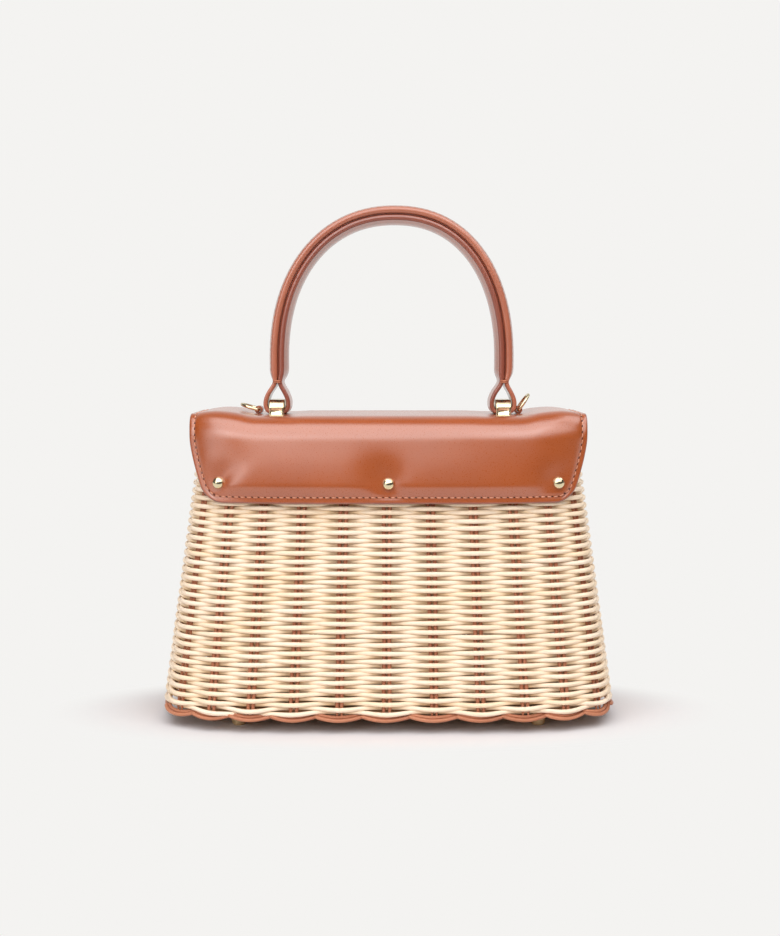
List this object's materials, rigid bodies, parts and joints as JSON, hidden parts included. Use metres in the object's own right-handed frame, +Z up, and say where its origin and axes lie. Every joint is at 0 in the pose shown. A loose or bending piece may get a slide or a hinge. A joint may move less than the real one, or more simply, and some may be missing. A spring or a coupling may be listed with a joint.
{
  "type": "woven handbag",
  "caption": "Trapezoid rattan handbag with a woven basket body, a studded leather flap lid, a looped leather top handle, strap rings and small brass feet.",
  "frame": {"origin": "on the ground under the middle of the base", "axes": "+X across the bag, +Y towards the opening front, -Y the riveted rear face, +Z up"},
  "size_m": [0.2738, 0.1202, 0.3101],
  "materials": {
    "rattan": "natural cream rattan core, satin",
    "stained_rattan": "rattan core stained reddish brown, satin",
    "board": "plain fibreboard",
    "brass": "polished pale gold plating",
    "steel": "plain zinc-plated steel",
    "leather": "smooth tan leather with painted edges",
    "suede": "soft suede lining"
  },
  "bodies": {
    "basket": {"wicker_basket": "rattan", "foot_border": "stained_rattan", "rim_border": "stained_rattan", "base_board": "board", "foot_rear_left": "brass", "foot_rear_right": "brass", "foot_front_left": "brass", "foot_front_right": "brass", "rear_panel": "leather", "rear_lining": "suede", "stud_left": "brass", "stud_middle": "brass", "stud_right": "brass", "stud_washer_left": "steel", "stud_washer_middle": "steel", "stud_washer_right": "steel", "closure_patch": "leather", "body_magnet": "brass", "magnet_washer": "steel"},
    "lid": {"lid_leather": "leather", "lid_lining": "suede", "handle": "leather", "bridge_left": "brass", "bridge_right": "brass", "bridge_plate_left": "steel", "bridge_plate_right": "steel", "ring_tab_left": "leather", "ring_tab_right": "leather", "lid_magnet": "brass"},
    "ring_left": {"ring_left": "brass"},
    "ring_right": {"ring_right": "brass"}
  },
  "joints": [
    {"name": "lid_hinge", "type": "hinge", "parent": "basket", "child": "lid", "pos_m": [0, -0.04419, 0.18041], "axis": [1, 0, 0], "range_deg": [0, 115]},
    {"name": "ring_left_swing", "type": "hinge", "parent": "lid", "child": "ring_left", "pos_m": [-0.07935, 0, 0.18735], "axis": [0, 1, 0], "range_deg": [-12, 70]},
    {"name": "ring_right_swing", "type": "hinge", "parent": "lid", "child": "ring_right", "pos_m": [0.07935, 0, 0.18735], "axis": [0, -1, 0], "range_deg": [-50, 32]}
  ]
}
